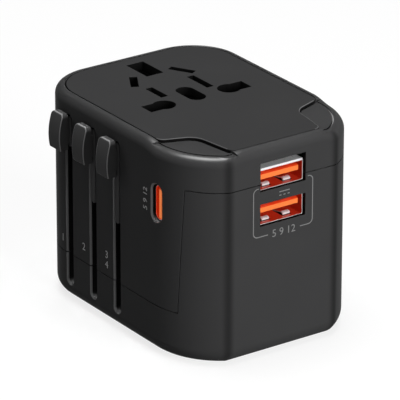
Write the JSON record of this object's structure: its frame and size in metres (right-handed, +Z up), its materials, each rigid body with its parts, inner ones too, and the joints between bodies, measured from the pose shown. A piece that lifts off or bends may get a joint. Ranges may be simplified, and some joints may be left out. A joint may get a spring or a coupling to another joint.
{
  "type": "universal travel adapter",
  "caption": "Block-shaped travel plug adapter with a multi-standard socket on top, USB charging ports, and side sliders that push plug pins out of the base.",
  "frame": {"origin": "on the flat base, at the centre of the body's outline seen from above", "axes": "+Z up out of the socket face, -Y towards the USB-A ports, -X towards the sliders"},
  "size_m": [0.0543, 0.0684, 0.054],
  "materials": {
    "case_plastic": "fine satin moulded texture, dark charcoal",
    "socket_plastic": "matte moulded, dark charcoal",
    "inner_plastic": "plain black moulding",
    "port_plastic": "bright orange moulding",
    "port_steel": "folded bright sheet",
    "pin_metal": "nickel-plated brass",
    "contact_brass": "stamped strip",
    "screw_steel": "dark zinc",
    "circuit_board": "green solder mask",
    "transformer_tape": "yellow winding tape",
    "capacitor_can": "plain can",
    "fuse_tube": "white tube"
  },
  "bodies": {
    "body": {"upper_housing": "case_plastic", "lower_housing": "case_plastic", "socket_plate": "socket_plastic", "contact_block": "inner_plastic", "line_contact": "contact_brass", "neutral_contact": "contact_brass", "earth_contact": "contact_brass", "socket_screw_left_front": "screw_steel", "socket_screw_left_back": "screw_steel", "socket_screw_right_front": "screw_steel", "socket_screw_right_back": "screw_steel", "housing_screw_left": "screw_steel", "housing_screw_right": "screw_steel", "main_pcb": "circuit_board", "transformer": "transformer_tape", "input_capacitor": "capacitor_can", "output_capacitor": "capacitor_can", "fuse": "fuse_tube", "fuse_clip_left": "contact_brass", "fuse_clip_right": "contact_brass", "usb_a_upper_shell": "port_steel", "usb_a_upper_insert": "port_plastic", "usb_a_lower_shell": "port_steel", "usb_a_lower_insert": "port_plastic", "usb_c_shell": "port_steel", "usb_c_insert": "port_plastic"},
    "eu_slider": {"eu_knob": "case_plastic", "eu_carriage": "inner_plastic", "eu_pin_left": "pin_metal", "eu_pin_right": "pin_metal", "eu_sleeve_left": "inner_plastic", "eu_sleeve_right": "inner_plastic"},
    "uk_slider": {"uk_knob": "case_plastic", "uk_carriage": "inner_plastic", "uk_pin_line": "pin_metal", "uk_pin_line_sleeve": "inner_plastic", "uk_pin_neutral": "pin_metal", "uk_pin_neutral_sleeve": "inner_plastic", "uk_pin_earth": "pin_metal"},
    "us_slider": {"us_knob": "case_plastic", "us_carriage": "inner_plastic"},
    "left_blade": {"us_turret_left": "inner_plastic", "us_blade_left": "pin_metal"},
    "right_blade": {"us_turret_right": "inner_plastic", "us_blade_right": "pin_metal"}
  },
  "joints": [
    {"name": "eu_slide", "type": "slide", "parent": "body", "child": "eu_slider", "axis": [0, 0, -1], "range_m": [0, 0.023]},
    {"name": "uk_slide", "type": "slide", "parent": "body", "child": "uk_slider", "axis": [0, 0, -1], "range_m": [0, 0.023]},
    {"name": "us_slide", "type": "slide", "parent": "body", "child": "us_slider", "axis": [0, 0, -1], "range_m": [0, 0.023]},
    {"name": "left_blade_turn", "type": "hinge", "parent": "us_slider", "child": "left_blade", "pos_m": [-0.00635, -0.009, 0.0233], "axis": [0, 0, 1], "range_deg": [-30, 0]},
    {"name": "right_blade_turn", "type": "hinge", "parent": "us_slider", "child": "right_blade", "pos_m": [0.00635, -0.009, 0.0233], "axis": [0, 0, 1], "range_deg": [0, 30]}
  ]
}
